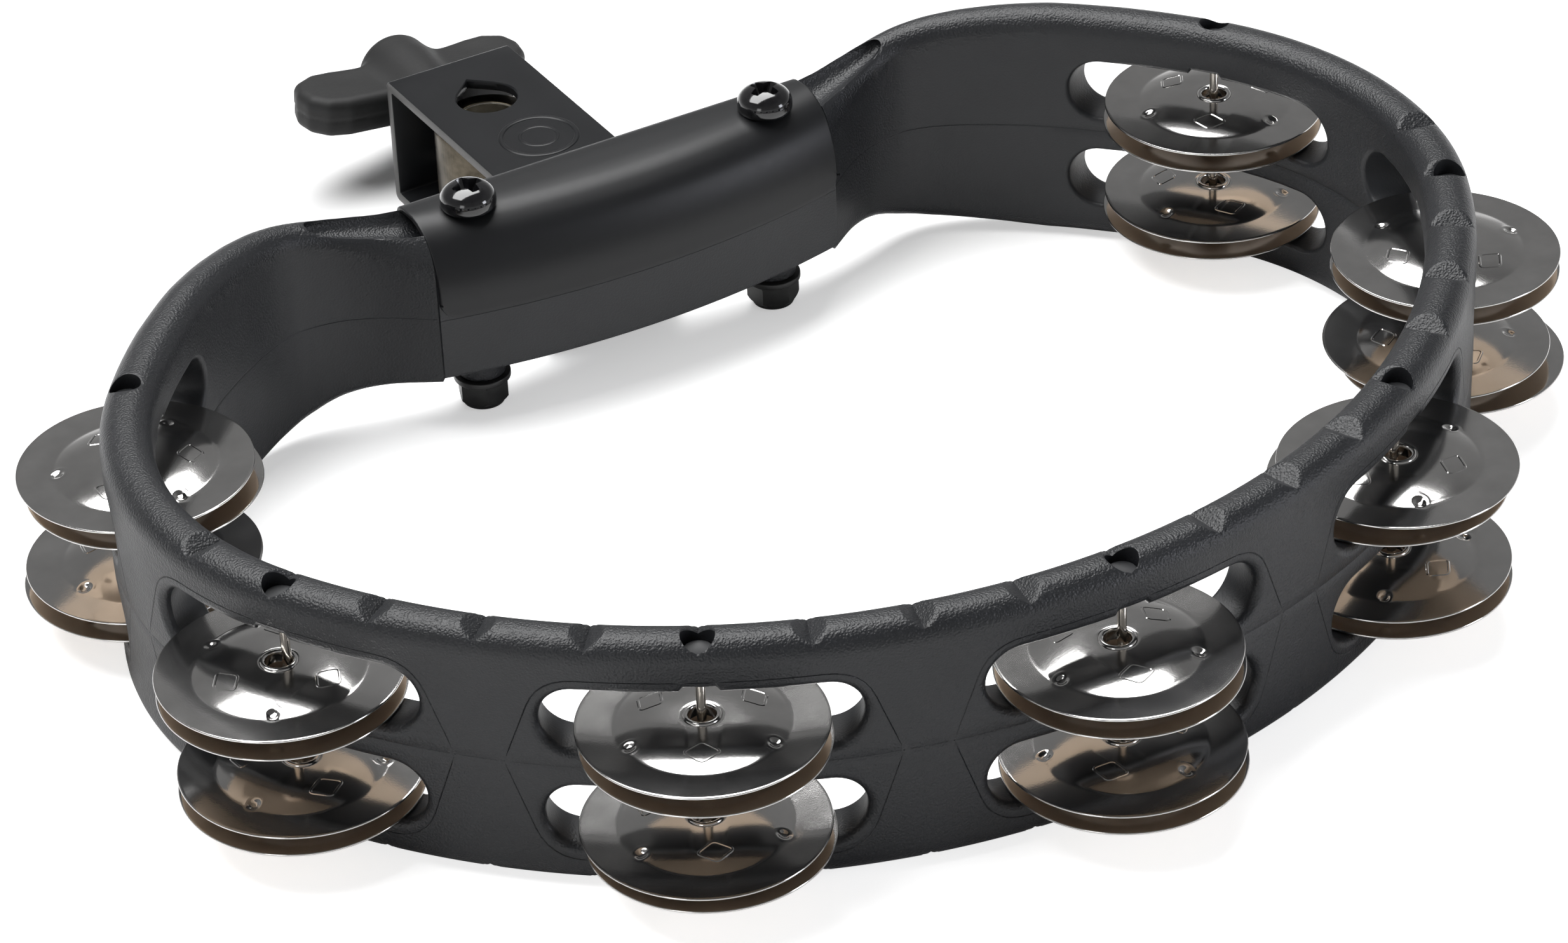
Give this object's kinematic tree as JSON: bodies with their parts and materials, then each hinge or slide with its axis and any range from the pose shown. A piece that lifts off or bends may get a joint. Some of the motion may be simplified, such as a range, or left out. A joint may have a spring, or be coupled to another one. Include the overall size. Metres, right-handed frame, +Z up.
{
  "type": "tambourine",
  "caption": "Hoop tambourine with two rows of paired jingles, a steel-covered handle and a wing-nut clamp that mounts it on a vertical rod.",
  "frame": {"origin": "axis of the clamped rod, where it crosses the hoop's mid plane", "axes": "+Z up along the rod and the jingle pins, +Y from the hoop through the clamp to the wing nut, X across the hoop's mirror plane"},
  "size_m": [0.3184, 0.3271, 0.0558],
  "materials": {
    "hoop_abs": "charcoal black moulded ABS, fine grain on the rims, satin walls",
    "saddle_steel": "satin black powder coat",
    "clamp_steel": "satin black powder coat",
    "fastener_black": "gloss black plated",
    "bolt_zinc": "bright zinc",
    "grip_rubber": "matte black moulded rubber",
    "pin_nickel": "bright nickel wire",
    "plug_abs": "black plastic plug",
    "jingle_steel": "nickel plated pressed steel, polished"
  },
  "bodies": {
    "hoop": {"frame": "hoop_abs", "saddle_cover": "saddle_steel", "clamp_channel": "clamp_steel", "saddle_screws": "fastener_black", "screw_washers": "fastener_black", "lock_nuts": "fastener_black", "pin_hole_plugs": "plug_abs", "pin_1": "pin_nickel", "pin_2": "pin_nickel", "pin_3": "pin_nickel", "pin_4": "pin_nickel", "pin_5": "pin_nickel", "pin_6": "pin_nickel", "pin_7": "pin_nickel"},
    "eye_bolt": {"eye_bolt": "bolt_zinc"},
    "wing_nut": {"wing_nut_insert": "bolt_zinc", "wing_nut_grip": "grip_rubber"},
    "jingle_1_top_lower": {"jingle_1_top_lower": "jingle_steel"},
    "jingle_1_top_upper": {"jingle_1_top_upper": "jingle_steel"},
    "jingle_1_low_lower": {"jingle_1_low_lower": "jingle_steel"},
    "jingle_1_low_upper": {"jingle_1_low_upper": "jingle_steel"},
    "jingle_2_top_lower": {"jingle_2_top_lower": "jingle_steel"},
    "jingle_2_top_upper": {"jingle_2_top_upper": "jingle_steel"},
    "jingle_2_low_lower": {"jingle_2_low_lower": "jingle_steel"},
    "jingle_2_low_upper": {"jingle_2_low_upper": "jingle_steel"},
    "jingle_3_top_lower": {"jingle_3_top_lower": "jingle_steel"},
    "jingle_3_top_upper": {"jingle_3_top_upper": "jingle_steel"},
    "jingle_3_low_lower": {"jingle_3_low_lower": "jingle_steel"},
    "jingle_3_low_upper": {"jingle_3_low_upper": "jingle_steel"},
    "jingle_4_top_lower": {"jingle_4_top_lower": "jingle_steel"},
    "jingle_4_top_upper": {"jingle_4_top_upper": "jingle_steel"},
    "jingle_4_low_lower": {"jingle_4_low_lower": "jingle_steel"},
    "jingle_4_low_upper": {"jingle_4_low_upper": "jingle_steel"},
    "jingle_5_top_lower": {"jingle_5_top_lower": "jingle_steel"},
    "jingle_5_top_upper": {"jingle_5_top_upper": "jingle_steel"},
    "jingle_5_low_lower": {"jingle_5_low_lower": "jingle_steel"},
    "jingle_5_low_upper": {"jingle_5_low_upper": "jingle_steel"},
    "jingle_6_top_lower": {"jingle_6_top_lower": "jingle_steel"},
    "jingle_6_top_upper": {"jingle_6_top_upper": "jingle_steel"},
    "jingle_6_low_lower": {"jingle_6_low_lower": "jingle_steel"},
    "jingle_6_low_upper": {"jingle_6_low_upper": "jingle_steel"},
    "jingle_7_top_lower": {"jingle_7_top_lower": "jingle_steel"},
    "jingle_7_top_upper": {"jingle_7_top_upper": "jingle_steel"},
    "jingle_7_low_lower": {"jingle_7_low_lower": "jingle_steel"},
    "jingle_7_low_upper": {"jingle_7_low_upper": "jingle_steel"}
  },
  "joints": [
    {"name": "wing_nut_turn", "type": "hinge", "parent": "hoop", "child": "wing_nut", "pos_m": [0, 0.025, -0.0094], "axis": [0, 1, 0], "range_deg": [-900, 720]},
    {"name": "eye_bolt_draw", "type": "slide", "parent": "hoop", "child": "eye_bolt", "axis": [0, 1, 0], "range_m": [-0.0025, 0.00313]},
    {"name": "rattle_1_top_lower", "type": "slide", "parent": "hoop", "child": "jingle_1_top_lower", "axis": [0, 0, 1], "range_m": [0, 0.003]},
    {"name": "rattle_1_top_upper", "type": "slide", "parent": "hoop", "child": "jingle_1_top_upper", "axis": [0, 0, 1], "range_m": [0, 0.006]},
    {"name": "rattle_1_low_lower", "type": "slide", "parent": "hoop", "child": "jingle_1_low_lower", "axis": [0, 0, 1], "range_m": [0, 0.003]},
    {"name": "rattle_1_low_upper", "type": "slide", "parent": "hoop", "child": "jingle_1_low_upper", "axis": [0, 0, 1], "range_m": [0, 0.006]},
    {"name": "rattle_2_top_lower", "type": "slide", "parent": "hoop", "child": "jingle_2_top_lower", "axis": [0, 0, 1], "range_m": [0, 0.003]},
    {"name": "rattle_2_top_upper", "type": "slide", "parent": "hoop", "child": "jingle_2_top_upper", "axis": [0, 0, 1], "range_m": [0, 0.006]},
    {"name": "rattle_2_low_lower", "type": "slide", "parent": "hoop", "child": "jingle_2_low_lower", "axis": [0, 0, 1], "range_m": [0, 0.003]},
    {"name": "rattle_2_low_upper", "type": "slide", "parent": "hoop", "child": "jingle_2_low_upper", "axis": [0, 0, 1], "range_m": [0, 0.006]},
    {"name": "rattle_3_top_lower", "type": "slide", "parent": "hoop", "child": "jingle_3_top_lower", "axis": [0, 0, 1], "range_m": [0, 0.003]},
    {"name": "rattle_3_top_upper", "type": "slide", "parent": "hoop", "child": "jingle_3_top_upper", "axis": [0, 0, 1], "range_m": [0, 0.006]},
    {"name": "rattle_3_low_lower", "type": "slide", "parent": "hoop", "child": "jingle_3_low_lower", "axis": [0, 0, 1], "range_m": [0, 0.003]},
    {"name": "rattle_3_low_upper", "type": "slide", "parent": "hoop", "child": "jingle_3_low_upper", "axis": [0, 0, 1], "range_m": [0, 0.006]},
    {"name": "rattle_4_top_lower", "type": "slide", "parent": "hoop", "child": "jingle_4_top_lower", "axis": [0, 0, 1], "range_m": [0, 0.003]},
    {"name": "rattle_4_top_upper", "type": "slide", "parent": "hoop", "child": "jingle_4_top_upper", "axis": [0, 0, 1], "range_m": [0, 0.006]},
    {"name": "rattle_4_low_lower", "type": "slide", "parent": "hoop", "child": "jingle_4_low_lower", "axis": [0, 0, 1], "range_m": [0, 0.003]},
    {"name": "rattle_4_low_upper", "type": "slide", "parent": "hoop", "child": "jingle_4_low_upper", "axis": [0, 0, 1], "range_m": [0, 0.006]},
    {"name": "rattle_5_top_lower", "type": "slide", "parent": "hoop", "child": "jingle_5_top_lower", "axis": [0, 0, 1], "range_m": [0, 0.003]},
    {"name": "rattle_5_top_upper", "type": "slide", "parent": "hoop", "child": "jingle_5_top_upper", "axis": [0, 0, 1], "range_m": [0, 0.006]},
    {"name": "rattle_5_low_lower", "type": "slide", "parent": "hoop", "child": "jingle_5_low_lower", "axis": [0, 0, 1], "range_m": [0, 0.003]},
    {"name": "rattle_5_low_upper", "type": "slide", "parent": "hoop", "child": "jingle_5_low_upper", "axis": [0, 0, 1], "range_m": [0, 0.006]},
    {"name": "rattle_6_top_lower", "type": "slide", "parent": "hoop", "child": "jingle_6_top_lower", "axis": [0, 0, 1], "range_m": [0, 0.003]},
    {"name": "rattle_6_top_upper", "type": "slide", "parent": "hoop", "child": "jingle_6_top_upper", "axis": [0, 0, 1], "range_m": [0, 0.006]},
    {"name": "rattle_6_low_lower", "type": "slide", "parent": "hoop", "child": "jingle_6_low_lower", "axis": [0, 0, 1], "range_m": [0, 0.003]},
    {"name": "rattle_6_low_upper", "type": "slide", "parent": "hoop", "child": "jingle_6_low_upper", "axis": [0, 0, 1], "range_m": [0, 0.006]},
    {"name": "rattle_7_top_lower", "type": "slide", "parent": "hoop", "child": "jingle_7_top_lower", "axis": [0, 0, 1], "range_m": [0, 0.003]},
    {"name": "rattle_7_top_upper", "type": "slide", "parent": "hoop", "child": "jingle_7_top_upper", "axis": [0, 0, 1], "range_m": [0, 0.006]},
    {"name": "rattle_7_low_lower", "type": "slide", "parent": "hoop", "child": "jingle_7_low_lower", "axis": [0, 0, 1], "range_m": [0, 0.003]},
    {"name": "rattle_7_low_upper", "type": "slide", "parent": "hoop", "child": "jingle_7_low_upper", "axis": [0, 0, 1], "range_m": [0, 0.006]}
  ],
  "couplings": [
    {"joint": "wing_nut_turn", "follows": "eye_bolt_draw", "rad_per_m": -5026.5},
    {"joint": "rattle_1_top_upper", "follows": "rattle_1_top_lower", "ratio": 2},
    {"joint": "rattle_1_low_upper", "follows": "rattle_1_low_lower", "ratio": 2},
    {"joint": "rattle_2_top_upper", "follows": "rattle_2_top_lower", "ratio": 2},
    {"joint": "rattle_2_low_upper", "follows": "rattle_2_low_lower", "ratio": 2},
    {"joint": "rattle_3_top_upper", "follows": "rattle_3_top_lower", "ratio": 2},
    {"joint": "rattle_3_low_upper", "follows": "rattle_3_low_lower", "ratio": 2},
    {"joint": "rattle_4_top_upper", "follows": "rattle_4_top_lower", "ratio": 2},
    {"joint": "rattle_4_low_upper", "follows": "rattle_4_low_lower", "ratio": 2},
    {"joint": "rattle_5_top_upper", "follows": "rattle_5_top_lower", "ratio": 2},
    {"joint": "rattle_5_low_upper", "follows": "rattle_5_low_lower", "ratio": 2},
    {"joint": "rattle_6_top_upper", "follows": "rattle_6_top_lower", "ratio": 2},
    {"joint": "rattle_6_low_upper", "follows": "rattle_6_low_lower", "ratio": 2},
    {"joint": "rattle_7_top_upper", "follows": "rattle_7_top_lower", "ratio": 2},
    {"joint": "rattle_7_low_upper", "follows": "rattle_7_low_lower", "ratio": 2}
  ]
}
